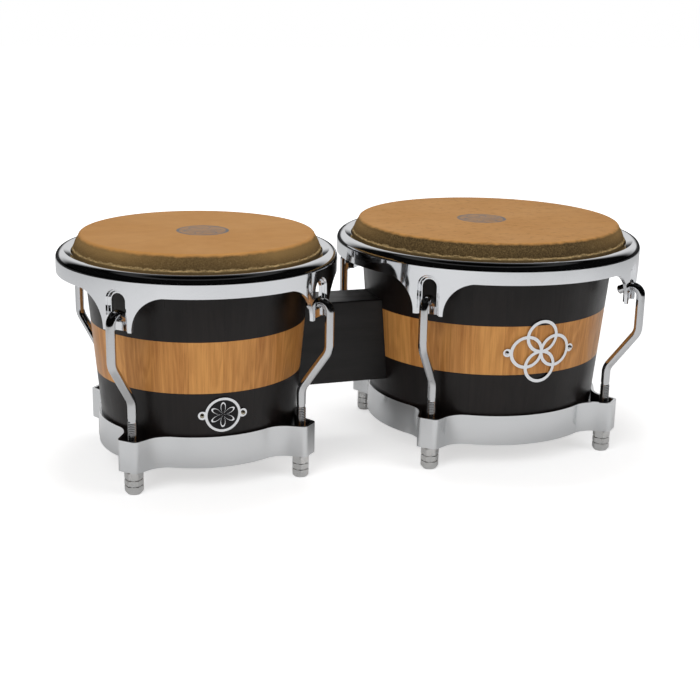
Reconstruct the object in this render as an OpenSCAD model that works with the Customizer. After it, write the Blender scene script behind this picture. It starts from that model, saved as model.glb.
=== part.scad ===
// Bongo drums: two tapered wooden shells joined by a centre block. Each head is pulled
// down by a rolled steel rim, four hooked tuning rods and the long nuts it stands on.

/* [Drums] */
// Radius of the small drum's playing surface
small_head_r = 93; // [86:0.5:100]
// Radius of the large drum's playing surface
large_head_r = 110.5; // [102:0.5:124]
// Gap between the two rims
rim_gap = 12.5; // [6:0.5:30]
// Height of the playing surfaces above the floor
head_z = 188.8; // [184:0.2:230]

/* [Shells] */
// Thickness of the stave wall
shell_wall = 8.5; // [6:0.5:11]
// How much the shell's radius shrinks from its bearing edge to its foot
shell_taper = 14.5; // [8:0.5:20]
// Height of the shell's foot above the underside of the bottom hoop
shell_foot = 2.6; // [1:0.1:8]
// Rounding of the bearing edge, inside and out
edge_round = 2.4; // [1:0.2:3.4]
// Height of the natural band's lower edge above the floor
band_z = 79.4; // [65:0.2:95]
// Height of the natural band
band_h = 41.1; // [20:0.1:50]

/* [Heads] */
// Thickness of the skin
skin_t = 1.4; // [0.8:0.1:2]
// How far the collar spreads below the playing surface
collar_spread = 4.4; // [3:0.1:6]
// Radius of the bead at the foot of the collar
bead_r = 1.5; // [1:0.1:2]
// Radius of the steel flesh hoop's wire
flesh_wire_r = 3.2; // [2.5:0.1:3.6]

/* [Rims] */
// How far the rim stands out beyond the playing surface
rim_reach = 17.8; // [16:0.1:24]
// Thickness of the rim's steel
rim_t = 2.6; // [2:0.1:3.2]
// Drop from the playing surface to the crown of the rim
rim_drop = 12.3; // [10:0.1:16]
// Height of the rim from its crown to the edge of its skirt
rim_h = 16.9; // [14:0.1:22]
// Outside radius of the rolled top edge
rim_roll = 6.5; // [5:0.1:8]
// Drop from the crown to the lip that holds the flesh hoop
lip_drop = 1.3; // [0:0.1:3]
// Gap between the playing surface's radius and the lip
lip_reach = 5.2; // [5:0.1:6.4]

/* [Rim ears] */
// Half width of an ear at its tip
ear_half_w = 12.5; // [11.5:0.1:16]
// Drop of an ear below the skirt
ear_drop = 27.6; // [26:0.2:30]
// Radius of the sweep from the skirt into the ear
ear_sweep_r = 27; // [20:0.5:27.5]
// Half width of the slot for the hook
slot_half_w = 6; // [4.6:0.1:7]
// Rise of the slot's arch above the skirt's edge
slot_rise = 0.7; // [0:0.1:3]
// Depth of the dished channel round the slot
dish_depth = 3; // [1:0.1:4]
// Width of the margin between slot and channel edge, over the channel's bed and its sloping side
dish_margin = 2.9; // [2:0.1:4]
// Width of the channel's bed beside the slot
bed_margin = 0.9; // [0.5:0.1:1.6]
// Thickness of the channel's side walls
dish_wall = 1.4; // [1:0.1:2]

/* [Tuning rods] */
// Radius of the plain rod
rod_r = 3.6; // [3:0.1:3.9]
// Radius over the rolled thread
thread_r = 3.9; // [3.4:0.05:4.1]
// Distance from the rim to the rod's centre line
rod_stand_off = 7.2; // [6.5:0.1:12]
// Sideways step of the crank
rod_crank = 23.9; // [18:0.1:30]
// Height of the lower bend above the floor
low_bend_z = 73; // [66:0.5:80]
// Height of the upper bend above the floor
high_bend_z = 107; // [100:0.5:115]
// Centre line radius of the crank's bends
crank_bend_r = 14; // [8:0.5:20]
// Drop from the skirt's edge to the crown of the hook's centre line
hook_drop = 14.8; // [12:0.1:16]
// Centre line radius of the hook
hook_bend_r = 7.2; // [5.5:0.1:8]
// Slope of the hook's tip below level
hook_tip_angle = 25; // [10:1:35]
// Straight length of the hook's tip
hook_tip = 9.3; // [7:0.1:12]
// Height at which the thread ends
thread_top_z = 60; // [50:0.5:64]
// Height of the rod's lower end above the floor
rod_end_z = 3; // [1:0.2:6]

/* [Nuts and washers] */
// Width of a nut across its flats
nut_flats = 12.7; // [11:0.1:14]
// Height of a nut
nut_h = 18.4; // [14:0.1:24]
// Radius of the flat that a nut stands on
nut_foot_r = 5.2; // [4.6:0.1:5.4]
// Height of a nut's rounded foot
nut_foot_h = 2.6; // [1.5:0.1:4]
// Width of the two turned grooves
groove_w = 0.8; // [0.4:0.1:1.2]
// Depth of the two turned grooves below the flats
groove_depth = 0.35; // [0.2:0.05:0.8]
// Height of the lower groove above the floor
groove_z = 6.4; // [5:0.1:8]
// Spacing of the grooves
groove_step = 5; // [3:0.1:6]
// Radius of a washer
washer_r = 7.6; // [7:0.1:9]
// Thickness of a washer
washer_t = 0.9; // [0.6:0.1:1.6]

/* [Bottom hoops] */
// Height of the hoop's band
hoop_h = 25; // [16:0.5:32]
// Thickness of the hoop's steel
hoop_t = 2.3; // [1.6:0.1:3]
// Half width of a pocket at the rod
pocket_half_w = 11; // [10:0.1:16]
// Reach of a pocket beyond the rod's centre line
pocket_reach = 9.2; // [8.6:0.1:13]
// Spread of a pocket's sides towards the shell, in degrees
pocket_spread = 16; // [2:1:20]
// Outside radius of a pocket's corners
pocket_corner_r = 4.5; // [3.5:0.1:6]
// Outside radius of the blend from pocket to hoop
pocket_blend_r = 20; // [6:0.5:24]

/* [Centre block] */
// Depth of the block from front to back
block_d = 40; // [30:0.5:60]
// Height of the block
block_h = 69.1; // [56:0.5:80]
// Height of the block's underside above the floor
block_z = 59.4; // [50:0.2:70]
// Rounding of the block's long edges
block_round = 1.2; // [0.5:0.1:3]
// Radius of the bolts that hold the block
bolt_r = 4; // [3:0.1:5]
// Length of a bolt's shank
bolt_length = 42; // [36:0.5:44]
// Height of a bolt's head
bolt_head_h = 5; // [4:0.1:7]
// Width of a bolt's head across its flats
bolt_flats = 12; // [11:0.1:14]
// Distance from the block's middle height to each bolt
bolt_offset = 17; // [13:0.5:20]
// Half height of the backing plate inside the shell
plate_half_h = 28; // [26:0.5:34]
// Half width of the backing plate inside the shell
plate_half_w = 14; // [10:0.5:18]
// Thickness of the backing plate
plate_t = 2; // [1:0.1:3]

/* [Badge and emblem] */
// Radius of the small drum's round badge
badge_r = 14; // [10:0.5:16]
// Width of the badge's raised ring
badge_ring_w = 2; // [1:0.1:3]
// Height of the badge's centre above the floor
badge_z = 62; // [60:0.5:63]
// Radius of the emblem's rings
loop_r = 12.6; // [8:0.2:14]
// Width of the emblem's strokes
loop_w = 2.6; // [1.6:0.1:3.4]
// Height of the emblem's centre above the floor
emblem_z = 98.8; // [95:0.2:104]
// Turn of the emblem round the shell from straight ahead, in degrees
emblem_turn = 2.4; // [-10:0.2:10]
// Thickness of badge and emblem
plaque_t = 1.4; // [1:0.1:2]
// Radius of a pin's head
pin_r = 1.7; // [1.3:0.1:2.2]

/* [Fits] */
// Gap between seated pieces
seat_gap = 0.15; // [0.05:0.05:0.3]
// Gap between a hook and its saddle
hook_gap = 0.3; // [0.2:0.05:0.5]
// Radial clearance of a thread in its nut
thread_gap = 0.05; // [0.02:0.01:0.1]
// Clearance of a rod in its pocket and washer
rod_gap = 0.4; // [0.3:0.05:0.8]
// Gap between a nut and its washer
turn_gap = 0.1; // [0.05:0.05:0.2]

/* [Hidden] */
$fn = 96;
SMALL = 0;
LARGE = 1;
LUGS = 4;
drum_names = ["small", "large"];

WOOD_DARK = [0.14, 0.12, 0.12];
WOOD_NATURAL = [0.78, 0.56, 0.32];
SKIN = [0.76, 0.57, 0.35];
CHROME = [0.82, 0.83, 0.85];
SATIN = [0.70, 0.72, 0.73];
STEEL = [0.55, 0.56, 0.57];
ENAMEL = [0.05, 0.05, 0.05];

eps = 0.01;
cut = 1;
let_in = 0.2;
bend_swell = 0.02;
sweep_lap = 0.3;
tuck_gap = 0.8;
bead_tuck = 0.4;
bead_proud = 0.3;
enamel_below = 0.4;
dish_short = 0.4;
blend_stop = 0.35;
corner_stop = 0.3;

head_radii = [small_head_r, large_head_r];
facing = [1, -1];
function head_r(d) = head_radii[d];
function rim_r(d) = head_r(d) + rim_reach;
function rod_top_r(d) = rim_r(d) + rod_stand_off;
function rod_foot_r(d) = rod_top_r(d) - rod_crank;

length = 2 * rim_r(SMALL) + rim_gap + 2 * rim_r(LARGE);
axis_x = [rim_r(SMALL) - length / 2, length / 2 - rim_r(LARGE)];

washer_z = nut_h + turn_gap;
hoop_z = washer_z + washer_t;
hoop_top_z = hoop_z + hoop_h;
shell_z = hoop_z + shell_foot;
shell_top_z = head_z - skin_t;
shell_h = shell_top_z - shell_z;

crown_z = head_z - rim_drop;
skirt_z = crown_z - rim_h;
lip_z = crown_z - lip_drop;
ear_z = skirt_z - ear_drop;
slot_top_z = skirt_z + slot_rise;
dish_half_w = slot_half_w + dish_margin;
bed_half_w = slot_half_w + bed_margin;
dish_top_z = slot_top_z + dish_margin;
arch_mid_z = slot_top_z - slot_half_w;

hook_crown_z = skirt_z - hook_drop;
hook_start_z = hook_crown_z - hook_bend_r;
crank_angle = atan(rod_crank / (high_bend_z - low_bend_z));
crank_trim = crank_bend_r * tan(crank_angle / 2);
crank_run = norm([rod_crank, high_bend_z - low_bend_z]) - 2 * crank_trim;

// Underside of the hook's sloping tip at a distance in from the rod's centre line
hook_turn = 90 + hook_tip_angle;
function tip_under_z(inward) = hook_start_z + hook_bend_r * sin(hook_turn)
    - (inward - hook_bend_r * (1 - cos(hook_turn))) * tan(hook_tip_angle)
    - rod_r / cos(hook_tip_angle);
saddle_z = tip_under_z(rod_stand_off + dish_depth + rim_t) - hook_gap;

// Outside radius of a shell at a height
function shell_top_r(d) = head_r(d) - skin_t - seat_gap;
function shell_r(d, z) = shell_top_r(d) - shell_taper * (shell_top_z - z) / shell_h;
function hoop_r(d) = shell_r(d, hoop_top_z) + seat_gap + hoop_t;

flesh_wrap_r = flesh_wire_r + skin_t;
function lip_r(d) = head_r(d) + lip_reach;
function flesh_r(d) = head_r(d) + collar_spread - bead_r;
flesh_z = lip_z - rim_t - seat_gap
    - sqrt(pow(flesh_wrap_r, 2) - pow(lip_reach - collar_spread + bead_r, 2));
bead_z = lip_z + bead_r - bead_tuck;

block_mid_z = block_z + block_h / 2;
bolt_heights = [block_mid_z - bolt_offset, block_mid_z + bolt_offset];
function plate_r(d, z) = shell_r(d, z) - shell_wall - seat_gap;
bolt_head_r = bolt_flats / 2 / cos(30);
// Distance from the drum's axis to the seat of a bolt's head on the curved plate
function bolt_seat(d, z) = sqrt(pow(plate_r(d, z - bolt_head_r) - plate_t, 2)
    - pow(bolt_head_r, 2)) - seat_gap;

function lug_angle(n) = 45 + (n - 1) * 360 / LUGS;

// ---------------------------------------------------------------- helpers

module at_drum(d) {
    translate([axis_x[d], 0, 0]) children();
}

module at_lug(d, n) {
    at_drum(d) rotate([0, 0, lug_angle(n)]) children();
}

// Turns the drum's local +X towards the centre block
module towards_block(d) {
    at_drum(d) rotate([0, 0, facing[d] > 0 ? 0 : 180]) children();
}

// An upright outline, drawn sideways by height, pushed out along +X between two radii
module radial(r_in, r_out) {
    translate([r_in, 0, 0]) rotate([90, 0, 90]) linear_extrude(r_out - r_in) children();
}

module ring(r_in, r_out, z, h) {
    translate([0, 0, z]) difference() {
        cylinder(r = r_out, h = h);
        translate([0, 0, -cut]) cylinder(r = r_in, h = h + 2 * cut);
    }
}

// A sleeve that lies on the shell's taper, between two distances from its face
module on_shell(d, near, far, z0, z1) {
    rotate_extrude() polygon([
        [shell_r(d, z0) + near, z0], [shell_r(d, z0) + far, z0],
        [shell_r(d, z1) + far, z1], [shell_r(d, z1) + near, z1]
    ]);
}

// ---------------------------------------------------------------- shells

module shell_outline(d) {
    top = shell_top_r(d);
    foot = shell_r(d, shell_z);
    difference() {
        union() {
            polygon([
                [foot - shell_wall, shell_z], [foot, shell_z],
                [shell_r(d, shell_top_z - edge_round), shell_top_z - edge_round],
                [top - edge_round, shell_top_z - eps],
                [top - shell_wall + edge_round, shell_top_z - eps],
                [top - shell_wall, shell_top_z - edge_round]
            ]);
            translate([top - edge_round, shell_top_z - edge_round]) circle(r = edge_round - eps);
            translate([top - edge_round - 1, shell_top_z - 1]) square([1, 1]);
            translate([top - shell_wall + edge_round, shell_top_z - edge_round])
                circle(r = edge_round - eps);
        }
        square([foot - shell_wall - cut, head_z]);
    }
}

module shell(d) {
    levels = [shell_z - cut, band_z, band_z + band_h, head_z];
    stains = [WOOD_DARK, WOOD_NATURAL, WOOD_DARK];
    difference() {
        at_drum(d) for (i = [0:2]) color(stains[i]) intersection() {
            rotate_extrude() shell_outline(d);
            translate([0, 0, levels[i]]) cylinder(r = rim_r(d), h = levels[i + 1] - levels[i]);
        }
        bolt_bores(d);
    }
}

module bolt_bores(d) {
    towards_block(d) for (z = bolt_heights)
        translate([bolt_seat(d, z), 0, z]) rotate([0, 90, 0])
            cylinder(r = bolt_r + seat_gap, h = bolt_length + cut);
}

// ---------------------------------------------------------------- heads

module head_outline(d) {
    r = head_r(d);
    turn = edge_round + skin_t;
    difference() {
        union() {
            translate([0, head_z - skin_t]) square([r - turn, skin_t]);
            intersection() {
                translate([r - turn, head_z - turn]) difference() {
                    circle(r = turn);
                    circle(r = edge_round);
                }
                translate([r - turn, head_z - turn]) square(turn);
            }
            polygon([
                [r, head_z - turn], [r - skin_t, head_z - turn],
                [r + collar_spread - 2 * skin_t, bead_z],
                [flesh_r(d) - flesh_wire_r / 2, flesh_z], [r + collar_spread, flesh_z],
                [r + collar_spread, bead_z]
            ]);
            translate([r + collar_spread - bead_r + bead_proud, bead_z]) circle(r = bead_r);
            translate([flesh_r(d), flesh_z]) circle(r = flesh_wrap_r);
        }
        translate([flesh_r(d), flesh_z]) circle(r = flesh_wire_r + seat_gap);
        translate([flesh_r(d) - tuck_gap / 2, flesh_z - flesh_wrap_r - cut])
            square([tuck_gap, flesh_wrap_r + cut]);
    }
}

module head(d) {
    color(SKIN) at_drum(d) rotate_extrude() head_outline(d);
}

module flesh_hoop(d) {
    color(STEEL) at_drum(d) rotate_extrude()
        translate([flesh_r(d), flesh_z]) circle(r = flesh_wire_r);
}

// ---------------------------------------------------------------- rims

// Half section of the rim before its skirt is cut back between the ears
module rim_outline(d) {
    r = rim_r(d);
    roll = [r - rim_roll, crown_z - rim_roll];
    translate([r - rim_t, ear_z]) square([rim_t, roll[1] - ear_z]);
    translate(roll) intersection() {
        difference() {
            circle(r = rim_roll);
            circle(r = rim_roll - rim_t);
        }
        square(rim_roll);
    }
    polygon([
        [roll[0], crown_z - rim_t], [roll[0], crown_z],
        [lip_r(d) + rim_t / 2, lip_z], [lip_r(d) + rim_t / 2, lip_z - rim_t]
    ]);
    translate([lip_r(d) + rim_t / 2, lip_z - rim_t / 2]) circle(r = rim_t / 2);
}

module arch(half_w, top_z, foot_z) {
    translate([-half_w, foot_z]) square([2 * half_w, top_z - half_w - foot_z]);
    translate([0, top_z - half_w]) circle(r = half_w);
}

// The ear's outline: a tongue that sweeps out of the skirt on both sides
module ear_outline() {
    spread = ear_half_w + ear_sweep_r;
    sweep_z = skirt_z + sweep_lap - ear_sweep_r;
    translate([-ear_half_w, ear_z - 2 * cut]) square([2 * ear_half_w, sweep_z - ear_z + 2 * cut]);
    difference() {
        translate([-spread, sweep_z]) square([2 * spread, ear_sweep_r + cut]);
        for (side = [-1, 1]) translate([side * spread, sweep_z]) circle(r = ear_sweep_r);
    }
}

// An arch that widens outwards with the dish's slope, grown by a distance
module sloping_arch(d, grow, foot_z) {
    slope = (dish_half_w - bed_half_w) / dish_depth;
    near = rim_r(d) - dish_depth - rim_t - cut;
    far = rim_r(d) + cut;
    near_w = dish_half_w + grow - slope * (rim_r(d) - near);
    far_w = dish_half_w + grow + slope * (far - rim_r(d));
    intersection() {
        translate([near, 0, arch_mid_z]) rotate([0, 90, 0])
            cylinder(r1 = near_w, r2 = far_w, h = far - near);
        translate([near, -2 * far_w, arch_mid_z]) cube([far - near, 4 * far_w, 2 * far_w]);
    }
    translate([0, 0, foot_z]) linear_extrude(arch_mid_z - foot_z)
        polygon([[near, -near_w], [far, -far_w], [far, far_w], [near, near_w]]);
}

// The dished channel that carries the hook, open towards the ear's tip
module ear_channel(d) {
    bed_r = rim_r(d) - dish_depth;
    foot_z = ear_z + dish_short;
    top_z = dish_top_z + dish_wall;
    difference() {
        intersection() {
            ring(bed_r - rim_t, rim_r(d) - rim_t / 2, foot_z, top_z - foot_z);
            sloping_arch(d, dish_wall, foot_z - cut);
        }
        intersection() {
            ring(bed_r, rim_r(d) + cut, foot_z - cut, top_z - foot_z + 2 * cut);
            sloping_arch(d, 0, foot_z - 2 * cut);
        }
        radial(bed_r / 2, rim_r(d)) arch(slot_half_w, slot_top_z, saddle_z);
    }
}

module rim(d) {
    r = rim_r(d);
    color(CHROME) at_drum(d) {
        difference() {
            rotate_extrude() rim_outline(d);
            difference() {
                ring(r - rim_t - cut, r + cut, ear_z - cut, skirt_z - ear_z + cut);
                for (n = [1:LUGS]) rotate([0, 0, lug_angle(n)])
                    radial(r / 2, r + 2 * cut) ear_outline();
            }
            for (n = [1:LUGS]) rotate([0, 0, lug_angle(n)])
                sloping_arch(d, dish_wall / 2, ear_z - cut);
        }
        for (n = [1:LUGS]) rotate([0, 0, lug_angle(n)]) ear_channel(d);
    }
}

// ---------------------------------------------------------------- tuning rods

// A straight stretch of rod, let into its neighbours, and what follows it
module run(r, h) {
    translate([0, 0, -let_in]) cylinder(r = r, h = h + 2 * let_in);
    translate([0, 0, h]) children();
}

// A bend towards +X, or towards -X for a negative angle, and what follows it
module bend(r, bend_r, angle) {
    way = sign(angle);
    turn = abs(angle);
    mirror([way < 0 ? 1 : 0, 0, 0]) translate([bend_r, 0, 0]) rotate([90, 0, 0])
        rotate([0, 0, 180 - turn]) rotate_extrude(angle = turn)
            translate([bend_r, 0]) circle(r = r + bend_swell);
    translate([way * bend_r * (1 - cos(turn)), 0, bend_r * sin(turn)])
        rotate([0, angle, 0]) children();
}

module rod(d, n) {
    color(CHROME) at_lug(d, n) translate([rod_foot_r(d), 0, rod_end_z])
        run(thread_r, thread_top_z - rod_end_z)
        run(rod_r, low_bend_z - crank_trim - thread_top_z)
        bend(rod_r, crank_bend_r, crank_angle)
        run(rod_r, crank_run)
        bend(rod_r, crank_bend_r, -crank_angle)
        run(rod_r, hook_start_z - high_bend_z - crank_trim)
        bend(rod_r, hook_bend_r, -hook_turn)
        run(rod_r, hook_tip);
}

// ---------------------------------------------------------------- nuts and washers

// Half section that turns a nut's corners, rounded foot and grooves
module nut_section() {
    corner_r = nut_flats / 2 / cos(30);
    difference() {
        union() {
            translate([0, nut_foot_h]) square([corner_r, nut_h - nut_foot_h - corner_r / 6]);
            polygon([[0, 0], [nut_foot_r, 0], [corner_r, nut_foot_h], [0, nut_foot_h]]);
            polygon([
                [0, nut_h - corner_r / 6], [corner_r, nut_h - corner_r / 6],
                [nut_flats / 2, nut_h], [0, nut_h]
            ]);
        }
        for (i = [0:1])
            translate([nut_flats / 2 - groove_depth, groove_z + i * groove_step])
                square([corner_r, groove_w]);
    }
}

module nut(d, n) {
    color(SATIN) at_lug(d, n) translate([rod_foot_r(d), 0, 0]) difference() {
        intersection() {
            cylinder(r = nut_flats / 2 / cos(30), h = nut_h, $fn = 6);
            rotate_extrude() nut_section();
        }
        translate([0, 0, -cut]) cylinder(r = thread_r + thread_gap, h = nut_h + 2 * cut);
    }
}

module washers(d) {
    color(STEEL) for (n = [1:LUGS]) at_lug(d, n) translate([rod_foot_r(d), 0, 0])
        ring(thread_r + rod_gap, washer_r, washer_z, washer_t);
}

// ---------------------------------------------------------------- bottom hoops

// Outline of one pocket with its blends into the hoop, grown by a distance
module pocket_outline(d, grow) {
    a = pocket_spread;
    normal = [sin(a), cos(a)];
    along = [cos(a), -sin(a)];
    hoop = hoop_r(d) + grow;
    front = rod_foot_r(d) + pocket_reach + grow;
    corner_r = pocket_corner_r + grow;
    blend_r = pocket_blend_r - grow;
    side = normal * [rod_foot_r(d), pocket_half_w] + grow;
    corner_y = (side - corner_r - sin(a) * (front - corner_r)) / cos(a);
    corner = [front - corner_r, corner_y];
    blend = (side + blend_r) * normal
        + sqrt(pow(hoop + blend_r, 2) - pow(side + blend_r, 2)) * along;
    blend_angle = atan2(blend[1], blend[0]) - blend_stop;
    on_hoop = (hoop - eps) * [cos(blend_angle), sin(blend_angle)];
    for (flip = [0, 1]) mirror([0, flip]) {
        difference() {
            polygon([
                [0, -eps], [front, -eps], [front, corner_y - corner_stop],
                corner, corner + corner_r * normal - corner_stop * along,
                blend - (blend_r - eps) * normal, blend, on_hoop
            ]);
            translate(blend) circle(r = blend_r);
        }
        translate(corner) circle(r = corner_r);
    }
}

module hoop_outline(d, grow) {
    circle(r = hoop_r(d) + grow);
    for (n = [1:LUGS]) rotate(lug_angle(n)) pocket_outline(d, grow);
}

module bottom_hoop(d) {
    color(SATIN) at_drum(d) translate([0, 0, hoop_z]) {
        linear_extrude(hoop_h) difference() {
            hoop_outline(d, 0);
            hoop_outline(d, -hoop_t);
        }
        linear_extrude(hoop_t) difference() {
            hoop_outline(d, 0);
            circle(r = hoop_r(d) - hoop_t);
            for (n = [1:LUGS]) rotate(lug_angle(n)) translate([rod_foot_r(d), 0])
                circle(r = thread_r + rod_gap);
        }
    }
}

// ---------------------------------------------------------------- centre block

module centre_block() {
    color(WOOD_DARK) difference() {
        translate([axis_x[SMALL], 0, 0]) rotate([90, 0, 90])
            linear_extrude(axis_x[LARGE] - axis_x[SMALL]) block_section();
        for (d = [SMALL, LARGE]) {
            at_drum(d) rotate_extrude() polygon([
                [0, block_z - cut], [shell_r(d, block_z - cut) + seat_gap, block_z - cut],
                [shell_r(d, block_z + block_h + cut) + seat_gap, block_z + block_h + cut],
                [0, block_z + block_h + cut]
            ]);
            bolt_bores(d);
        }
    }
}

module block_section() {
    w = block_d / 2 - block_round;
    translate([-w, block_z]) square([2 * w, block_h]);
    translate([-block_d / 2, block_z + block_round]) square([block_d, block_h - 2 * block_round]);
    for (y = [-w, w])
        for (z = [block_z + block_round, block_z + block_h - block_round])
            translate([y, z]) circle(r = block_round);
}

module block_plate(d) {
    color(STEEL) difference() {
        towards_block(d) intersection() {
            rotate_extrude() polygon([
                for (edge = [[0, -1], [plate_t, -1], [plate_t, 1], [0, 1]])
                    let (z = block_mid_z + edge[1] * (plate_half_h + cut))
                        [plate_r(d, z) - edge[0], z]
            ]);
            translate([0, -plate_half_w, block_mid_z - plate_half_h])
                cube([rim_r(d), 2 * plate_half_w, 2 * plate_half_h]);
        }
        bolt_bores(d);
    }
}

module block_bolts(d) {
    color(STEEL) towards_block(d) for (z = bolt_heights)
        translate([bolt_seat(d, z), 0, z]) rotate([0, 90, 0]) {
            cylinder(r = bolt_r, h = bolt_length);
            translate([0, 0, -bolt_head_h]) cylinder(r = bolt_head_r, h = bolt_head_h, $fn = 6);
        }
}

// ---------------------------------------------------------------- badge and emblem

// Lays an outline on the shell's front: sideways by height, turned round the axis
module on_front(d, turn, near, far, z_mid, half_h) {
    at_drum(d) rotate([0, 0, turn - 90]) intersection() {
        on_shell(d, near, far, z_mid - half_h, z_mid + half_h);
        radial(shell_r(d, z_mid) / 2, rim_r(d)) translate([0, z_mid]) children();
    }
}

pin_out = 2 * pin_r;
badge_pin_x = badge_r + pin_out / 2;
loop_out = loop_r + loop_w / 2;
emblem_pin_x = 2 * loop_r + loop_w / 2 + pin_out / 2;

// Places children at both pins of a plaque, looking out of the shell's face
module at_pins(d, turn, pin_x, z) {
    face_r = shell_r(d, z);
    around = asin(pin_x / face_r);
    at_drum(d) for (side = [-1, 1])
        rotate([0, 0, turn - 90 + side * around]) translate([face_r, 0, z])
            rotate([0, 90, 0]) children();
}

// Holes that a plaque's pins pass through
module pin_holes(d, turn, pin_x, z) {
    at_pins(d, turn, pin_x, z) translate([0, 0, -cut])
        cylinder(r = pin_r / 2 + seat_gap, h = plaque_t + 2 * cut);
}

module ears_2d(pin_x) {
    for (side = [-1, 1]) {
        translate([side * pin_x, 0]) circle(r = pin_out);
        translate([side * (pin_x - pin_out / 2) - pin_out / 2, -pin_out / 2])
            square(pin_out);
    }
}

module badge() {
    color(ENAMEL) on_front(SMALL, 0, seat_gap, plaque_t - enamel_below, badge_z, badge_r + cut)
        circle(r = badge_r - badge_ring_w / 2);
    color(CHROME) difference() {
        on_front(SMALL, 0, seat_gap, plaque_t, badge_z, badge_r + cut) {
            difference() {
                circle(r = badge_r);
                circle(r = badge_r - badge_ring_w);
            }
            difference() {
                ears_2d(badge_pin_x);
                circle(r = badge_r - badge_ring_w);
            }
        }
        pin_holes(SMALL, 0, badge_pin_x, badge_z);
    }
}

// Four interlaced rings
module emblem() {
    color(CHROME) difference() {
        on_front(LARGE, emblem_turn, seat_gap, plaque_t, emblem_z, 2 * loop_out) {
            for (a = [0:90:270]) rotate(a) translate([loop_r, 0]) difference() {
                circle(r = loop_out);
                circle(r = loop_r - loop_w / 2);
            }
            ears_2d(emblem_pin_x);
        }
        pin_holes(LARGE, emblem_turn, emblem_pin_x, emblem_z);
    }
}

// Round-headed pins through a plaque's ears to the shell's face
module pins(d, turn, pin_x, z) {
    color(CHROME) at_pins(d, turn, pin_x, z) {
        translate([0, 0, plaque_t + seat_gap]) intersection() {
            sphere(r = pin_r);
            translate([0, 0, pin_r / 2]) cube([2 * pin_r, 2 * pin_r, pin_r], center = true);
        }
        translate([0, 0, seat_gap]) cylinder(r = pin_r / 2, h = plaque_t + eps);
    }
}

// ---------------------------------------------------------------- nodes

for (d = [SMALL, LARGE]) {
    name = drum_names[d];
    shell(d);
    head(d);
    flesh_hoop(d);
    rim(d);
    bottom_hoop(d);
    washers(d);
    block_plate(d);
    block_bolts(d);
    for (n = [1:LUGS]) {
        rod(d, n);
        nut(d, n);
    }
}
centre_block();
badge();  // small_badge
pins(SMALL, 0, badge_pin_x, badge_z);  // small_badge_pins
emblem();  // large_emblem
pins(LARGE, emblem_turn, emblem_pin_x, emblem_z);  // large_emblem_pins
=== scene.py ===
import math

import bpy
from mathutils import Matrix, Vector


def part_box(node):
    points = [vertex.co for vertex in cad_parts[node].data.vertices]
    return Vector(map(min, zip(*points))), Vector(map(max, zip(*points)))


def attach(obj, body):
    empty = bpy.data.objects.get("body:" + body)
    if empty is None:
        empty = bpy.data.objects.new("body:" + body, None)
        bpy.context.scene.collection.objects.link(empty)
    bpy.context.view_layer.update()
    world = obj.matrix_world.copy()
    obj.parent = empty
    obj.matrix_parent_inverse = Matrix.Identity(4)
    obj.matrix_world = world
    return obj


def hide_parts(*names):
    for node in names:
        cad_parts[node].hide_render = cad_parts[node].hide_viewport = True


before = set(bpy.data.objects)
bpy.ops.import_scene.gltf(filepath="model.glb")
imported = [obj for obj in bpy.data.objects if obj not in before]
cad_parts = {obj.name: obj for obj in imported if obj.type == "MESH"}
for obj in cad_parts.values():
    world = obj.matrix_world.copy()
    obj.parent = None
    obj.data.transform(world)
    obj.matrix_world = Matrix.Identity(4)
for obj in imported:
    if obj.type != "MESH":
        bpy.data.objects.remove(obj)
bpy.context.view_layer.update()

# Camera: a little above the heads and to the left, looking down on the pair from the front,
# so that both playing surfaces, the badge and the emblem are seen.
camera_place = Vector((-0.35551, -1.00070, 0.38466))
camera_yaw, camera_pitch, camera_roll = 0.337, 0.279, 0.021
camera_lens, camera_sensor = 67.16, 36.0
sight = Vector((
    math.sin(camera_yaw) * math.cos(camera_pitch),
    math.cos(camera_yaw) * math.cos(camera_pitch),
    -math.sin(camera_pitch),
))
level = Vector((math.cos(camera_yaw), -math.sin(camera_yaw), 0))
upright = level.cross(sight)
across = level * math.cos(camera_roll) + upright * math.sin(camera_roll)
up = upright * math.cos(camera_roll) - level * math.sin(camera_roll)
bpy.ops.object.camera_add()
camera = bpy.context.object
camera.name = "camera"
camera.data.lens = camera_lens
camera.data.sensor_width = camera_sensor
camera.matrix_world = Matrix.Translation(camera_place) @ Matrix((across, up, -sight)).transposed().to_4x4()
bpy.context.scene.camera = camera


# Floor, room and lamps: white paper under the pair, and soft boxes to the left, above and right.
# The room is dark: polished metal sees only the paper out to a little past the drums, one bright
# window straight behind them and a dim strip high up.
bpy.context.scene.view_settings.view_transform = "Standard"

paper_half = 6.0
paper_white = (0.80, 0.80, 0.80, 1)
burnt_from, burnt_to = 0.35, 1.10
burnt_near, burnt_far = 0.60, 1.0
mirrored_from, mirrored_to = 0.85, 1.50
mirrored_tint, mirrored_lift, mirrored_dark = (0.96, 0.985, 1, 1), 0.13, 0.04
window_way = (0.33, 0.944, 0)
window_edge, window_middle = 0.52, 0.86
window_bright, room_dark = 0.90, 0.003
sill_low, sill_high, sill_dark = 0.09, 0.19, 0.05
lintel_low, lintel_high, lintel_dark = 0.55, 0.90, 0.12
strip_foot, strip_top, strip_bright = (0.76, 0.84), (0.88, 0.95), 0.045
room_fill, room_seen = 0.32, 1.0


def new_material(name):
    material = bpy.data.materials.new(name)
    material.use_nodes = True
    material.node_tree.nodes.clear()
    return material


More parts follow.
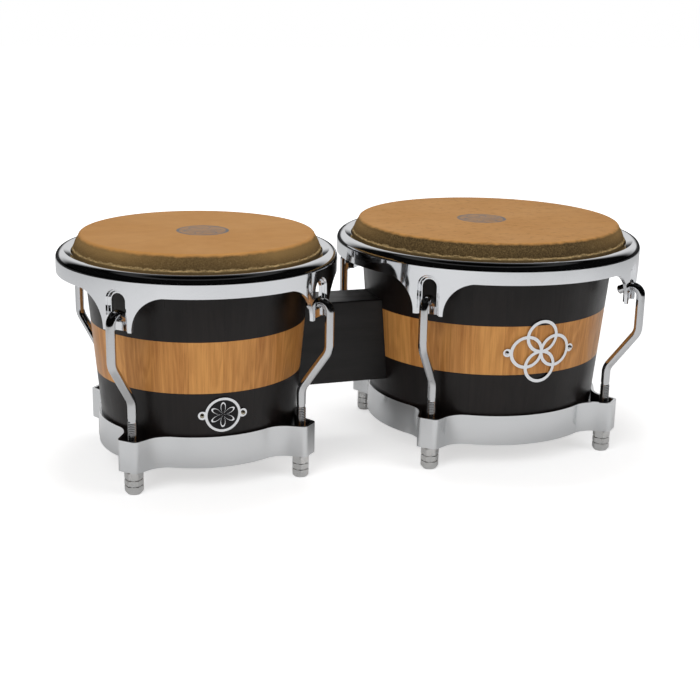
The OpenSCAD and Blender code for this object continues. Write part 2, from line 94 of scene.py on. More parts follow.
def add_node(owner, kind, **values):
    """A shader node; a value is a setting, a number, a colour or another node's output."""
    made = owner.node_tree.nodes.new(kind)
    for key, value in values.items():
        if hasattr(made, key):
            setattr(made, key, value)
            continue
        numbered = key[0] == "i" and key[1:].isdigit()
        socket = made.inputs[int(key[1:])] if numbered else made.inputs[key.replace("_", " ")]
        if isinstance(value, bpy.types.NodeSocket):
            owner.node_tree.links.new(value, socket)
        else:
            socket.default_value = value
    return made


def sums(owner, operation, *values):
    """One step of arithmetic in a material."""
    return add_node(owner, "ShaderNodeMath", operation=operation,
                    **{"i%d" % i: value for i, value in enumerate(values)}).outputs[0]


def fade(owner, value, low, high, to_low, to_high):
    """Carries a value softly from one range to another, held at both ends."""
    return add_node(owner, "ShaderNodeMapRange", interpolation_type="SMOOTHSTEP", Value=value,
                    From_Min=low, From_Max=high, To_Min=to_low, To_Max=to_high).outputs[0]


def mixed(owner, share, first, second):
    return add_node(owner, "ShaderNodeMixShader", i0=share, i1=first.outputs[0], i2=second.outputs[0])


paper = new_material("white_paper")
ray = add_node(paper, "ShaderNodeLightPath")
spot = add_node(paper, "ShaderNodeTexCoord").outputs["Object"]
away = add_node(paper, "ShaderNodeVectorMath", operation="LENGTH", i0=spot).outputs["Value"]
lit = add_node(paper, "ShaderNodeBsdfDiffuse", Color=paper_white)
unlit = add_node(paper, "ShaderNodeBsdfDiffuse", Color=(0, 0, 0, 1))
seen = sums(paper, "MAXIMUM", ray.outputs["Is Camera Ray"], ray.outputs["Is Transmission Ray"])
burnt = sums(paper, "MULTIPLY", seen, fade(paper, away, burnt_from, burnt_to, burnt_near, burnt_far))
glow = add_node(paper, "ShaderNodeEmission", Color=(1, 1, 1, 1), Strength=burnt)
glowing = add_node(paper, "ShaderNodeAddShader", i0=lit.outputs[0], i1=glow.outputs[0])
lift = add_node(paper, "ShaderNodeEmission", Color=mirrored_tint, Strength=mirrored_lift)
bright = add_node(paper, "ShaderNodeAddShader", i0=lit.outputs[0], i1=lift.outputs[0])
mirrored = mixed(paper, fade(paper, away, mirrored_from, mirrored_to, 1.0, mirrored_dark), unlit, bright)
shown = mixed(paper, ray.outputs["Is Glossy Ray"], glowing, mirrored)
add_node(paper, "ShaderNodeOutputMaterial", Surface=shown.outputs[0])

bpy.ops.mesh.primitive_plane_add(size=2 * paper_half, location=(0, 0, 0))
floor = bpy.context.object
floor.name = "paper_floor"
floor.data.materials.append(paper)

world = bpy.data.worlds.new("studio")
bpy.context.scene.world = world
world.use_nodes = True
world.node_tree.nodes.clear()
ray = add_node(world, "ShaderNodeLightPath")
outwards = add_node(world, "ShaderNodeTexCoord").outputs["Generated"]
height = add_node(world, "ShaderNodeSeparateXYZ", Vector=outwards).outputs["Z"]
backwards = add_node(world, "ShaderNodeVectorMath", operation="DOT_PRODUCT", i0=outwards,
                     i1=window_way).outputs["Value"]
window = sums(world, "MULTIPLY", fade(world, backwards, window_edge, window_middle, room_dark, window_bright),
              sums(world, "MULTIPLY", fade(world, height, sill_low, sill_high, sill_dark, 1.0),
                   fade(world, height, lintel_low, lintel_high, 1.0, lintel_dark)))
strip = sums(world, "MULTIPLY", fade(world, height, *strip_foot, 0.0, strip_bright),
             fade(world, height, *strip_top, 1.0, 0.0))
polish_sees = add_node(world, "ShaderNodeBackground", Strength=sums(world, "ADD", window, strip))
fill_gives = add_node(world, "ShaderNodeBackground", Strength=room_fill)
camera_sees = add_node(world, "ShaderNodeBackground", Color=(1, 1, 1, 1), Strength=room_seen)
shown = mixed(world, ray.outputs["Is Camera Ray"],
              mixed(world, ray.outputs["Is Glossy Ray"], fill_gives, polish_sees), camera_sees)
add_node(world, "ShaderNodeOutputWorld", Surface=shown.outputs[0])


def soft_box(name, place, aim, width, height, power):
    """A lamp that lights the drums and isn't mirrored in their metal."""
    bpy.ops.object.light_add(type="AREA", location=place)
    lamp = bpy.context.object
    lamp.name = name
    lamp.data.shape = "RECTANGLE"
    lamp.data.size = width
    lamp.data.size_y = height
    lamp.data.energy = power
    lamp.visible_glossy = False
    lamp.rotation_euler = (Vector(aim) - Vector(place)).to_track_quat("-Z", "Y").to_euler()


soft_box("left_box", (-1.3, -1.2, 1.2), (0, 0, 0.1), 1.2, 1.2, 15)
soft_box("top_box", (0.0, 0.15, 1.25), (0, 0, 0.1), 0.5, 0.35, 5.5)
soft_box("right_box", (1.3, -1.2, 0.9), (0, 0, 0.1), 1.0, 1.2, 8)


# Shells: staves of hardwood glued edge to edge and turned to a taper, with a black-brown stained
# band above and below a golden one that is left bare of stain. The outside is under a clear satin
# lacquer; the inside is plain planed wood.
stave_counts = {"small": 20, "large": 24}
stave_wrap = 0.088
band_low, band_high = 0.0794, 0.1205
half_wall = 0.00425
wall_lean = 0.08767
gold_light, gold_deep = (0.74, 0.35, 0.10, 1), (0.40, 0.150, 0.034, 1)
stain_light, stain_deep = (0.0125, 0.0092, 0.0085, 1), (0.0060, 0.0045, 0.0043, 1)
bare_light, bare_deep = (0.50, 0.34, 0.19, 1), (0.34, 0.21, 0.11, 1)
shell_sheen = 0.29


def axis_of(drum):
    low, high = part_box(drum + "_shell")
    return (low[0] + high[0]) / 2


def shell_top_radius(drum):
    low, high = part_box(drum + "_shell")
    return (high[0] - low[0]) / 2


def spread(material, value, low, high, to_low, to_high):
    """Carries a value from one range to another, held at both ends."""
    return add_node(material, "ShaderNodeMapRange", Value=value, From_Min=low, From_Max=high,
                    To_Min=to_low, To_Max=to_high).outputs[0]


def weighed(material, *terms):
    """Adds up values, each times its weight."""
    total = None
    for value, weight in terms:
        term = sums(material, "MULTIPLY", value, weight)
        total = term if total is None else sums(material, "ADD", total, term)
    return total


def distance(material, x, y):
    return sums(material, "SQRT", sums(material, "ADD", sums(material, "MULTIPLY", x, x),
                                       sums(material, "MULTIPLY", y, y)))


def blend_colour(material, share, first, second):
    return add_node(material, "ShaderNodeMixRGB", Fac=share, Color1=first, Color2=second).outputs[0]


def noise(material, place, scale, detail, **settings):
    return add_node(material, "ShaderNodeTexNoise", Vector=place, Scale=scale, Detail=detail,
                    **settings).outputs["Fac"]


def stretched_noise(material, place, stretch, scale, detail, distortion=0.0):
    wider = add_node(material, "ShaderNodeMapping", Vector=place, Scale=stretch)
    return noise(material, wider.outputs[0], scale, detail, Distortion=distortion)


def finish(material, height, strength, depth, **settings):
    """The surface at a material's end, with a fine relief pressed into it."""
    bump = add_node(material, "ShaderNodeBump", Height=height, Strength=strength, Distance=depth)
    surface = add_node(material, "ShaderNodeBsdfPrincipled", Normal=bump.outputs[0], **settings)
    add_node(material, "ShaderNodeOutputMaterial", Surface=surface.outputs[0])
    return material


def shell_wood(drum):
    wood = new_material(drum + "_stave_wood")
    place = add_node(wood, "ShaderNodeTexCoord").outputs["Object"]
    centred = add_node(wood, "ShaderNodeMapping", Vector=place, Location=(-axis_of(drum), 0, 0)).outputs[0]
    parts = add_node(wood, "ShaderNodeSeparateXYZ", Vector=centred)
    across_x, across_y, height = parts.outputs[0], parts.outputs[1], parts.outputs[2]

    # which stave, and where across it
    staves = stave_counts[drum]
    turn = sums(wood, "MULTIPLY_ADD", sums(wood, "ARCTAN2", across_y, across_x), staves / math.tau, staves / 2)
    stave = sums(wood, "FLOOR", turn)
    within = sums(wood, "FRACT", turn)
    tone = add_node(wood, "ShaderNodeTexWhiteNoise", noise_dimensions="1D", W=stave).outputs["Value"]
    seam = spread(wood, sums(wood, "ABSOLUTE", sums(wood, "SUBTRACT", within, 0.5)), 0.488, 0.499, 0, 1)

    # grain that runs up each stave, cut from another plank in each
    along = add_node(wood, "ShaderNodeCombineXYZ", X=sums(wood, "MULTIPLY", turn, math.tau * stave_wrap / staves),
                     Y=sums(wood, "MULTIPLY", tone, 3.0), Z=height).outputs[0]
    fibre = stretched_noise(wood, along, (1, 1, 0.035), 1100, 4)
    streak = stretched_noise(wood, along, (1, 1, 0.06), 330, 3)
    figure = stretched_noise(wood, along, (1, 1, 0.16), 60, 2, 0.9)
    rings = spread(wood, sums(wood, "SINE", sums(wood, "MULTIPLY", figure, 34.0)), -1, 1, 0, 1)
    pores = spread(wood, stretched_noise(wood, along, (1, 1, 0.05), 2600, 2), 0.60, 0.72, 0, 1)
    depth = weighed(wood, (spread(wood, fibre, 0.32, 0.68, 0, 1), 0.30), (spread(wood, streak, 0.35, 0.65, 0, 1), 0.20),
                    (rings, 0.28), (spread(wood, tone, 0, 1, -0.14, 0.24), 1.0), (pores, 0.25), (seam, 0.35))
    depth = spread(wood, depth, 0.05, 1.0, 0, 1)

    # stained bands and the golden one outside, bare wood inside
    in_band = sums(wood, "MULTIPLY", sums(wood, "GREATER_THAN", height, band_low),
                   sums(wood, "LESS_THAN", height, band_high))
    outside = blend_colour(wood, in_band, blend_colour(wood, depth, stain_light, stain_deep),
                           blend_colour(wood, depth, gold_light, gold_deep))
    middle_of_wall = sums(wood, "MULTIPLY_ADD", height, wall_lean,
                          shell_top_radius(drum) - half_wall - wall_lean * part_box(drum + "_shell")[1][2])
    inner = sums(wood, "LESS_THAN", distance(wood, across_x, across_y), middle_of_wall)
    colour = blend_colour(wood, inner, outside, blend_colour(wood, depth, bare_light, bare_deep))

    lacquer = sums(wood, "ADD", spread(wood, noise(wood, place, 45.0, 3.0), 0.3, 0.7, 0.24, 0.36),
                   sums(wood, "MULTIPLY", fibre, 0.10))
    rough = sums(wood, "MAXIMUM", lacquer, sums(wood, "MULTIPLY", inner, 0.72))
    relief = sums(wood, "SUBTRACT", sums(wood, "MULTIPLY", fibre, 0.6),
                  sums(wood, "ADD", seam, sums(wood, "MULTIPLY", pores, 0.5)))
    return finish(wood, relief, 0.22, 0.0002, Base_Color=colour, Roughness=rough, Specular_IOR_Level=shell_sheen)


def finish_node(name, material):
    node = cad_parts[name]
    node.data.materials.clear()
    node.data.materials.append(material)


for drum in ("small", "large"):
    finish_node(drum + "_shell", shell_wood(drum))


# Flesh hoops: plain rings of bent steel wire, welded shut, that the wet hide is wrapped round
# before it dries. Only their colour shows, from inside the drum.
def plate(name, colour, smooth, haze, ripple, swirl=38.0):
    """Metal with a faint ripple and uneven haze."""
    metal = new_material(name)
    place = add_node(metal, "ShaderNodeTexCoord").outputs["Object"]
    dull = sums(metal, "ADD", spread(metal, noise(metal, place, swirl, 4.0), 0.35, 0.75, smooth, haze),
                spread(metal, noise(metal, place, 900.0, 3.0), 0.5, 0.8, 0, 0.05))
    return finish(metal, noise(metal, place, 110.0, 2.0), ripple, 0.0002, Base_Color=colour, Metallic=1.0,
                  Roughness=dull)


steel = plate("plain_steel", (0.42, 0.41, 0.40, 1), 0.28, 0.42, 0.3)
for drum in ("small", "large"):
    finish_node(drum + "_flesh_hoop", steel)


# Heads: hide soaked, wrapped round the flesh hoop, pulled down over the shell's rounded edge and
# trimmed just above the rim's lip. The playing face is smooth and tan with a plain rosette
# stamped in the middle, the collar dark, dry and grainy, and the trimmed edge pale and ragged.
hide_thickness = 0.001204
hide_turn = 0.0031
collar_spread, collar_bulge, collar_rows = 0.0044, 0.0004, 10
trim_height, lip_height = 0.1778, 0.1752
trim_profile = ((-0.0005, 0), (-0.0006, -0.0004), (-0.0001, -0.0007), (0.0003, -0.0013), (0.0003, -0.0020),
                (0, -0.0027))
lip_profile = ((0, -0.0008), (0, -0.0020))
face_shares = (0.08, 0.2, 0.4, 0.6, 0.8, 0.92)
wire_height, wrap_radius, wire_inside = 0.16847, 0.0046, 0.0029
hide_steps = 480
grain_low, grain_below_top, grain_size, grain_depth = 0.1772, 0.003, 0.0035, 0.0005
ragged_low, ragged_high, ragged_size, ragged_depth = 0.1756, 0.1786, 0.0022, 0.0012
face_tan, face_deep = (0.565, 0.285, 0.088, 1), (0.46, 0.218, 0.062, 1)
collar_brown, collar_dark, collar_fleck = (0.138, 0.090, 0.037, 1), (0.072, 0.046, 0.019, 1), (0.26, 0.182, 0.083, 1)
# The next four settings paint a sheen on the collar: a paler, flatter brown, the way from each drum to the camera, and
# how the sheen grows towards the sides as seen from the camera
collar_painted_sheen = (0.283, 0.171, 0.063, 1)
sheen_camera_way = {"small": (-0.208, -0.978), "large": (-0.423, -0.906)}
collar_top = {"small": 0.0009, "large": 0.0001}
sheen_side_shares = {"small": (0.0, 0.20, 0.16, 0.78), "large": (0.22, 0.70, 0.0, 0.75)}
trim_pale = (0.56, 0.40, 0.19, 1)
stamp_ink = (0.135, 0.155, 0.175, 1)
stamp_radius, stamp_depth = 0.0195, 0.0006
stamp_shift = {"small": 0.004, "large": -0.006}


def deselect():
    if bpy.context.object and bpy.context.object.mode != "OBJECT":
        bpy.ops.object.mode_set(mode="OBJECT")
    bpy.ops.object.select_all(action="DESELECT")


def first_point(name, place):
    """A new mesh of one selected point, in edit mode."""
    deselect()
    bpy.ops.mesh.primitive_plane_add(size=0.001, location=place)
    piece = bpy.context.object
    piece.name = name
    bpy.ops.object.transform_apply(location=True, rotation=True, scale=True)
    bpy.ops.object.mode_set(mode="EDIT")
    bpy.ops.mesh.select_mode(type="VERT")
    bpy.ops.mesh.select_all(action="SELECT")
    bpy.ops.mesh.merge(type="CENTER")
    return piece


def draw_section(points):
    """Extrudes the selected point along a line of (x, z) places."""
    here = points[0]
    for there in points[1:]:
        bpy.ops.mesh.extrude_vertices_move(
            TRANSFORM_OT_translate={"value": (there[0] - here[0], 0, there[1] - here[1])})
        here = there


def turn_section(axis, steps):
    """Spins the drawn section once round an upright axis and closes the seam."""
    bpy.ops.mesh.select_all(action="SELECT")
    bpy.ops.mesh.spin(steps=steps, angle=math.tau, center=(axis, 0, 0), axis=(0, 0, 1))
    bpy.ops.mesh.select_all(action="SELECT")
    bpy.ops.mesh.remove_doubles(threshold=0.00001)


def arc(centre, radius, start, end, count):
    turns = [math.radians(start + (end - start) * i / count) for i in range(count + 1)]
    return [(centre[0] + radius * math.cos(turn), centre[1] + radius * math.sin(turn)) for turn in turns]


def hide_section(axis, top, radius):
    """The outer face of a head from its middle to the tucked end."""
    section = [(axis, top)] + [(axis + radius * share, top) for share in face_shares]
    section += arc((axis + radius - hide_turn, top - hide_turn), hide_turn, 90, 8, 7)
    foot_x = axis + radius + collar_spread
    side_top, side_foot = section[-1], (foot_x + trim_profile[0][0], trim_height)
    for row in range(1, collar_rows):
        share = row / collar_rows
        section.append((side_top[0] + (side_foot[0] - side_top[0]) * share + collar_bulge * math.sin(math.pi * share),
                        side_top[1] + (side_foot[1] - side_top[1]) * share))
    section += [(foot_x + out, trim_height + rise) for out, rise in trim_profile]
    section += [(foot_x + out, lip_height + rise) for out, rise in lip_profile]
    section += arc((axis + radius + wire_inside, wire_height), wrap_radius, 66, -200, 22)
    return section


def face_out(piece):
    """Turns an open sheet's faces so that the highest one looks up."""
    highest = max(piece.data.polygons, key=lambda face: face.center.z)
    if highest.normal.z < 0:
        bpy.ops.object.mode_set(mode="EDIT")
        bpy.ops.mesh.select_all(action="SELECT")
        bpy.ops.mesh.flip_normals()
        bpy.ops.object.mode_set(mode="OBJECT")


def roughen(piece, name, rows, grain_size, amount):
    """Displaces the points that a rule picks by soft lumps of a size."""
    group = piece.vertex_groups.new(name=name)
    for point in piece.data.vertices:
        weight = rows(point.co)
        if weight > 0:
            group.add([point.index], weight, "REPLACE")
    lumps = bpy.data.textures.new(name, "CLOUDS")
    lumps.noise_scale = grain_size
    lumps.noise_depth = 2
    push = piece.modifiers.new(name, "DISPLACE")
    push.texture = lumps
    push.texture_coords = "LOCAL"
    push.vertex_group = name
    push.strength = amount
    push.mid_level = 0.5
    bpy.ops.object.modifier_apply(modifier=name)


def bell(value, low, high, soft):
    """1 between two heights, fading to 0 over a soft edge."""
    return max(0.0, min(1.0, (value - low) / soft, (high - value) / soft))


def petal_edge(material, x, y, wave, reach):
    """How far a point is from the outline of a six-petalled rosette."""
    petals = sums(material, "ABSOLUTE", sums(material, wave, sums(material, "MULTIPLY", 3.0,
                                                                  sums(material, "ARCTAN2", y, x))))
    return sums(material, "ABSOLUTE", sums(material, "SUBTRACT", distance(material, x, y),
                                           sums(material, "MULTIPLY", petals, reach)))


def hide_skin(drum, axis, top):
    skin = new_material(drum + "_hide_skin")
    place = add_node(skin, "ShaderNodeTexCoord").outputs["Object"]
    centred = add_node(skin, "ShaderNodeMapping", Vector=place, Location=(-axis, 0, -top)).outputs[0]
    parts = add_node(skin, "ShaderNodeSeparateXYZ", Vector=centred)
    across_x, across_y, height = parts.outputs[0], parts.outputs[1], parts.outputs[2]
    cloud = noise(skin, centred, 14.0, 4.0, Roughness=0.6)
    spots = noise(skin, centred, 120.0, 3.0)
    mottle = noise(skin, centred, 170.0, 3.0)
    grit = noise(skin, centred, 820.0, 4.0, Roughness=0.6)
    pores = add_node(skin, "ShaderNodeTexVoronoi", Vector=centred, Scale=1500.0).outputs["Distance"]
    spine = stretched_noise(skin, centred, (0.35, 1.6, 1), 42, 3, 0.6)

    # the playing face, clouded along the spine
    uneven = weighed(skin, (spread(skin, cloud, 0.3, 0.7, 0, 1), 0.45), (spread(skin, spine, 0.35, 0.7, 0, 1), 0.30),
                     (spread(skin, spots, 0.3, 0.7, 0, 1), 0.22))
    face = blend_colour(skin, uneven, face_tan, face_deep)

    # the stamp: a washed ring round a rosette, on the face only
    east = sums(skin, "SUBTRACT", across_x, stamp_shift[drum])
    out = distance(skin, east, across_y)
    rosette = spread(skin, petal_edge(skin, east, across_y, "COSINE", 0.78 * stamp_radius), 0.0009, 0.0015, 1, 0)
    ring = spread(skin, sums(skin, "ABSOLUTE", sums(skin, "SUBTRACT", out, stamp_radius)), 0.0010, 0.0016, 1, 0)
    wash = sums(skin, "MULTIPLY", spread(skin, out, stamp_radius, stamp_radius + 0.0006, 1, 0), 0.55)
    inked = sums(skin, "MULTIPLY", sums(skin, "MAXIMUM", wash, sums(skin, "MAXIMUM", rosette, ring)),
                 spread(skin, spots, 0.35, 0.60, 0.60, 0.95))
    inked = sums(skin, "MULTIPLY", inked, sums(skin, "GREATER_THAN", height, -stamp_depth))
    face = blend_colour(skin, inked, face, stamp_ink)

    # the collar: dark and mottled with pale flecks, with a painted sheen that lays a paler, flatter brown on its sides
    # as seen from the camera, most near the top
    collar = blend_colour(skin, spread(skin, grit, 0.38, 0.62, 0, 1), collar_dark, collar_brown)
    collar = blend_colour(skin, sums(skin, "MULTIPLY", spread(skin, grit, 0.58, 0.70, 0, 1),
                                     spread(skin, mottle, 0.4, 0.62, 0.10, 0.7)), collar, collar_fleck)
    # painted sheen: the more the collar turns away from the camera, and the nearer it is to the top, the more paler
    # brown is laid over its grain
    facing = weighed(skin, (across_x, sheen_camera_way[drum][0]), (across_y, sheen_camera_way[drum][1]))
    facing = sums(skin, "ABSOLUTE", sums(skin, "DIVIDE", facing, distance(skin, across_x, across_y)))
    painted_sheen = sums(skin, "MULTIPLY", spread(skin, sums(skin, "SUBTRACT", 1.0, facing), *sheen_side_shares[drum]),
                    spread(skin, height, -0.002, -0.010, 1.3, 0.66))
    collar = blend_colour(skin, painted_sheen, collar, collar_painted_sheen)
    edge = sums(skin, "ADD", height, spread(skin, mottle, 0.3, 0.7, -0.0005, 0.0005))
    below = spread(skin, edge, -collar_top[drum], -collar_top[drum] - 0.0018, 0, 1)
    colour = blend_colour(skin, below, face, collar)

    # the trimmed edge, and the tucked end under it
    cut_level = sums(skin, "ADD", height, spread(skin, mottle, 0.3, 0.7, -0.0007, 0.0007))
    cut_off = sums(skin, "ABSOLUTE", sums(skin, "SUBTRACT", cut_level, trim_height - top - 0.0003))
    colour = blend_colour(skin, sums(skin, "MULTIPLY", spread(skin, cut_off, 0.0003, 0.0009, 1, 0),
                                     spread(skin, grit, 0.36, 0.60, 0.35, 1)), colour, trim_pale)
    tucked = spread(skin, cut_level, trim_height - top - 0.0004, trim_height - top - 0.0010, 0, 0.45)
    colour = blend_colour(skin, tucked, colour, collar_fleck)

    rough = sums(skin, "ADD", spread(skin, cloud, 0.3, 0.7, 0.50, 0.60), sums(skin, "MULTIPLY", below, 0.25))
    relief = weighed(skin, (pores, 0.35), (sums(skin, "MULTIPLY", grit, below), 2.4))
    return finish(skin, relief, 0.35, 0.0003, Base_Color=colour, Roughness=rough, Specular_IOR_Level=0.18)


for drum in ("small", "large"):
    low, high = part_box(drum + "_head")
    axis, top = axis_of(drum), high[2]
    radius = (high[0] - low[0]) / 2 - wire_inside - wrap_radius
    hide = first_point(drum + "_hide", (axis, 0, top))
    draw_section(hide_section(axis, top, radius))
    turn_section(axis, hide_steps)
    bpy.ops.object.mode_set(mode="OBJECT")
    face_out(hide)
    roughen(hide, "grain", lambda co: bell(co.z, grain_low, top - grain_below_top, 0.001), grain_size, grain_depth)
    roughen(hide, "ragged", lambda co: bell(co.z, ragged_low, ragged_high, 0.0006) *
            (math.hypot(co.x - axis, co.y) > radius + 0.002), ragged_size, ragged_depth)
    wall = hide.modifiers.new("wall", "SOLIDIFY")
    wall.thickness = hide_thickness
    wall.offset = -1
    bpy.ops.object.modifier_apply(modifier="wall")
    bpy.ops.object.shade_smooth_by_angle(angle=math.radians(50))
    hide.data.materials.append(hide_skin(drum, axis, top))
    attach(hide, "root")
    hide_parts(drum + "_head")


# Rims: sheet steel spun into a rolled ring, with four pierced and dished ears welded on for the
# hooks, all under bright chrome.
chrome = plate("bright_chrome", (0.80, 0.81, 0.83, 1), 0.035, 0.11, 0.10)
for drum in ("small", "large"):
    finish_node(drum + "_rim", chrome)


# Tuning rods: 7.2 mm steel rod, cranked in towards the shell's foot, hooked over at the top and
# rolled with a 5/16 inch, 18 to the inch thread at the bottom, then chromed.
rod_radius = 0.0036
thread_crest, thread_root, thread_core = 0.0039, 0.0032, 0.0033
thread_pitch, thread_low, thread_high = 0.00141, 0.003, 0.060
thread_lead, thread_turns, thread_sides = 0.0004, 38, 18
ridge_flanks = (0.45, 0.55, 0.98)
crank_low, crank_high = 0.073, 0.107
crank_step = 0.0239
crank_bend, hook_bend = 0.014, 0.0072
hook_crown, hook_sweep, hook_length = 0.1448, math.radians(115), 0.0093
tip_ease, tip_share = 0.0007, 0.8
rod_sides, bend_steps = 24, 9


def close_ends():
    """Fills the open ends of the piece that is in edit mode."""
    bpy.ops.mesh.select_all(action="DESELECT")
    bpy.ops.mesh.select_non_manifold()
    bpy.ops.mesh.fill_holes(sides=0)


def normals_out():
    bpy.ops.mesh.select_all(action="SELECT")
    bpy.ops.mesh.normals_make_consistent(inside=False)


def model_bar():
    """The rod's plain length, from the thread's end to the hook's tip, bent in the XZ plane."""
    deselect()
    bpy.ops.mesh.primitive_circle_add(vertices=rod_sides, radius=rod_radius, fill_type="NOTHING",
                                      location=(0, 0, thread_high))
    bar = bpy.context.object
    bpy.ops.object.transform_apply(location=True, rotation=True, scale=True)
    bpy.ops.object.mode_set(mode="EDIT")
    bpy.ops.mesh.select_mode(type="EDGE")
    bpy.ops.mesh.select_all(action="SELECT")
    place, heading = Vector((0, 0, thread_high)), Vector((0, 0, 1))

    def straight(length):
        nonlocal place
        step = heading * length
        bpy.ops.mesh.extrude_region_move(TRANSFORM_OT_translate={"value": step[:]})
        place = place + step

    def bend(radius, angle):
        nonlocal place, heading
        way = 1 if angle > 0 else -1
        side = Vector((heading.z, 0, -heading.x)) * way
        centre = place + side * radius
        bpy.ops.mesh.spin(steps=bend_steps, angle=abs(angle), center=centre[:], axis=(0, -way, 0))
        turn = Matrix.Rotation(angle, 3, "Y")
        place = centre + turn @ (place - centre)
        heading = turn @ heading

    lean = math.atan(crank_step / (crank_high - crank_low))
    trim = crank_bend * math.tan(lean / 2)
    straight(crank_low - trim - thread_high)
    bend(crank_bend, lean)
    straight(math.hypot(crank_step, crank_high - crank_low) - 2 * trim)
    bend(crank_bend, -lean)
    straight(hook_crown - hook_bend - crank_high - trim)
    bend(hook_bend, -hook_sweep)
    straight(hook_length - tip_ease)
    straight(tip_ease)
    bpy.ops.transform.resize(value=(tip_share, tip_share, tip_share), center_override=place[:])
    close_ends()
    bpy.ops.object.mode_set(mode="OBJECT")
    return bar


def model_core():
    """The thread's core, up into the bar."""
    core = first_point("core", (0, 0, thread_low))
    draw_section([(0, thread_low), (thread_core - thread_lead, thread_low), (thread_core, thread_low + thread_lead),
                  (thread_core, thread_high + thread_lead), (0, thread_high + thread_lead)])
    turn_section(0, rod_sides)
    bpy.ops.mesh.normals_make_consistent(inside=False)
    bpy.ops.object.mode_set(mode="OBJECT")
    return core


def model_ridge():
    """The thread's one ridge, wound up the core."""
    start = thread_low + thread_lead
    crest_low, crest_high, root_high = (start + share * thread_pitch for share in ridge_flanks)
    ridge = first_point("ridge", (thread_root, 0, start))
    draw_section([(thread_root, start), (thread_crest, crest_low), (thread_crest, crest_high),
                  (thread_root, root_high)])
    bpy.ops.mesh.select_all(action="SELECT")
    bpy.ops.mesh.edge_face_add()
    bpy.ops.mesh.delete(type="ONLY_FACE")
    bpy.ops.object.mode_set(mode="OBJECT")
    winding = ridge.modifiers.new("winding", "SCREW")
    winding.steps = winding.render_steps = thread_sides
    winding.iterations = thread_turns
    winding.screw_offset = thread_pitch
    winding.use_merge_vertices = False
    bpy.ops.object.modifier_apply(modifier="winding")
    bpy.ops.object.mode_set(mode="EDIT")
    close_ends()
    normals_out()
    bpy.ops.object.mode_set(mode="OBJECT")
    return ridge


rod_model = model_bar()
rod_parts = (model_core(), model_ridge(), rod_model)
deselect()
for part in rod_parts:
    part.select_set(True)
bpy.context.view_layer.objects.active = rod_model
bpy.ops.object.join()
bpy.ops.object.mode_set(mode="EDIT")
normals_out()
bpy.ops.object.mode_set(mode="OBJECT")
bpy.ops.object.shade_smooth_by_angle(angle=math.radians(35))
rod_model.data.materials.append(plate("rod_chrome", (0.60, 0.605, 0.615, 1), 0.08, 0.17, 0.14, 60.0))

for drum in ("small", "large"):
    for n in range(1, 5):
        low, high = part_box("%s_nut_%d" % (drum, n))
        foot = Vector(((low[0] + high[0]) / 2, (low[1] + high[1]) / 2, 0))
        deselect()
        rod_model.select_set(True)
        bpy.context.view_layer.objects.active = rod_model
        bpy.ops.object.duplicate(linked=False)
        rod = bpy.context.object
        rod.name = "%s_tuning_rod_%d" % (drum, n)
        rod.rotation_euler = (0, 0, math.atan2(foot.y, foot.x - axis_of(drum)))
        rod.location = foot
        bpy.ops.object.transform_apply(location=True, rotation=True, scale=True)
        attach(rod, "%s_rod_%d_body" % (drum, n))
        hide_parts("%s_rod_%d" % (drum, n))
bpy.data.objects.remove(rod_model)


# Bottom hoops: a band of steel, pressed into four pockets for the rods and turned in at its
# foot, then plated and brushed to a soft satin.
hoop_plate = plate("hoop_plate", (0.69, 0.70, 0.71, 1), 0.13, 0.22, 0.15)
for drum in ("small", "large"):
    finish_node(drum + "_bottom_hoop", hoop_plate)


# Washers and nuts: dark oiled steel washers under the hoop, and long turned nuts with two grooves
# and a rounded foot, which the drums stand on. The nuts are zinc plated and a little dull.
nut_plate = plate("nut_plate", (0.70, 0.695, 0.685, 1), 0.22, 0.34, 0.3, 90.0)
washer_steel = plate("washer_steel", (0.105, 0.085, 0.060, 1), 0.35, 0.50, 0.3, 90.0)
for drum in ("small", "large"):
    finish_node(drum + "_washers", washer_steel)
    for n in range(1, 5):
        finish_node("%s_nut_%d" % (drum, n), nut_plate)


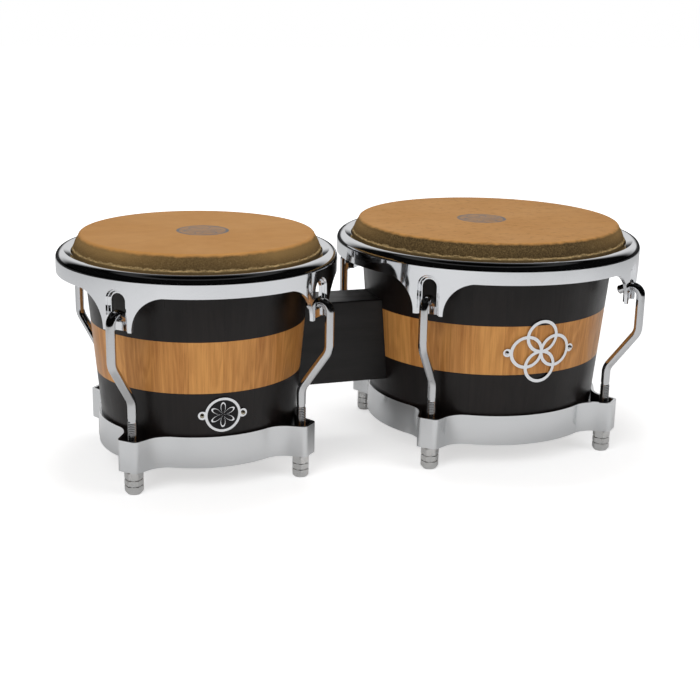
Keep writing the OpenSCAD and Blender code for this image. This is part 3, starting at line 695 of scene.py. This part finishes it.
# Centre block: a solid block of the same wood, hollowed at both ends to fit the shells, with
# eased edges and the black-brown stain and lacquer of the bands.
block_light, block_deep = (0.0115, 0.0095, 0.0090, 1), (0.0065, 0.0052, 0.0050, 1)
block = new_material("block_wood")
place = add_node(block, "ShaderNodeTexCoord").outputs["Object"]
fibre = stretched_noise(block, place, (0.05, 1, 1), 900, 4)
figure = stretched_noise(block, place, (0.12, 1, 1), 120, 3, 0.5)
pores = spread(block, stretched_noise(block, place, (0.04, 1, 1), 2200, 2), 0.60, 0.72, 0, 1)
depth = weighed(block, (spread(block, fibre, 0.32, 0.68, 0, 1), 0.5), (spread(block, figure, 0.35, 0.65, 0, 1), 0.5))
rough = sums(block, "ADD", spread(block, figure, 0.3, 0.7, 0.30, 0.40), sums(block, "MULTIPLY", pores, 0.15))
relief = sums(block, "SUBTRACT", sums(block, "MULTIPLY", fibre, 0.6), pores)
finish(block, relief, 0.22, 0.0002, Base_Color=blend_colour(block, depth, block_light, block_deep), Roughness=rough,
       Specular_IOR_Level=0.34)
finish_node("centre_block", block)


# Backing plates and bolts: curved steel plates inside the shells, and the hexagon bolts that go
# through them and the shells into the block.
for drum in ("small", "large"):
    finish_node(drum + "_block_plate", steel)
    finish_node(drum + "_block_bolts", steel)


# Badge: a cast plate with a raised chromed ring and two ears, its sunk face filled with black
# enamel round a plain rosette. Pinned to the small drum by round-headed pins.
badge_height, badge_face, badge_petals = 0.062, 0.0120, 0.0096
enamel_black = (0.006, 0.006, 0.007, 1)
badge_bright = (0.80, 0.81, 0.83, 1)
badge = new_material("badge_enamel")
place = add_node(badge, "ShaderNodeTexCoord").outputs["Object"]
parts = add_node(badge, "ShaderNodeSeparateXYZ", Vector=add_node(
    badge, "ShaderNodeMapping", Vector=place, Location=(-axis_of("small"), 0, -badge_height)).outputs[0])
sideways, upwards = parts.outputs[0], parts.outputs[2]
rosette = spread(badge, petal_edge(badge, sideways, upwards, "SINE", badge_petals), 0.00060, 0.00078, 1, 0)
ring = spread(badge, distance(badge, sideways, upwards), badge_face - 0.0001, badge_face + 0.0001, 0, 1)
metal = sums(badge, "MAXIMUM", rosette, ring)
rough = spread(badge, noise(badge, place, 160.0, 4.0), 0.35, 0.7, 0.07, 0.17)
finish(badge, metal, 0.5, 0.0002, Base_Color=blend_colour(badge, metal, enamel_black, badge_bright), Metallic=metal,
       Roughness=rough, Specular_IOR_Level=0.2)
finish_node("small_badge", badge)
finish_node("small_badge_pins", plate("pin_brass", (0.50, 0.45, 0.33, 1), 0.14, 0.26, 0.2, 90.0))


# Emblem: four interlaced rings cast in one piece, bent to the shell, chromed, and pinned through
# an ear at each side of the large drum's front.
finish_node("large_emblem", chrome)
finish_node("large_emblem_pins", chrome)
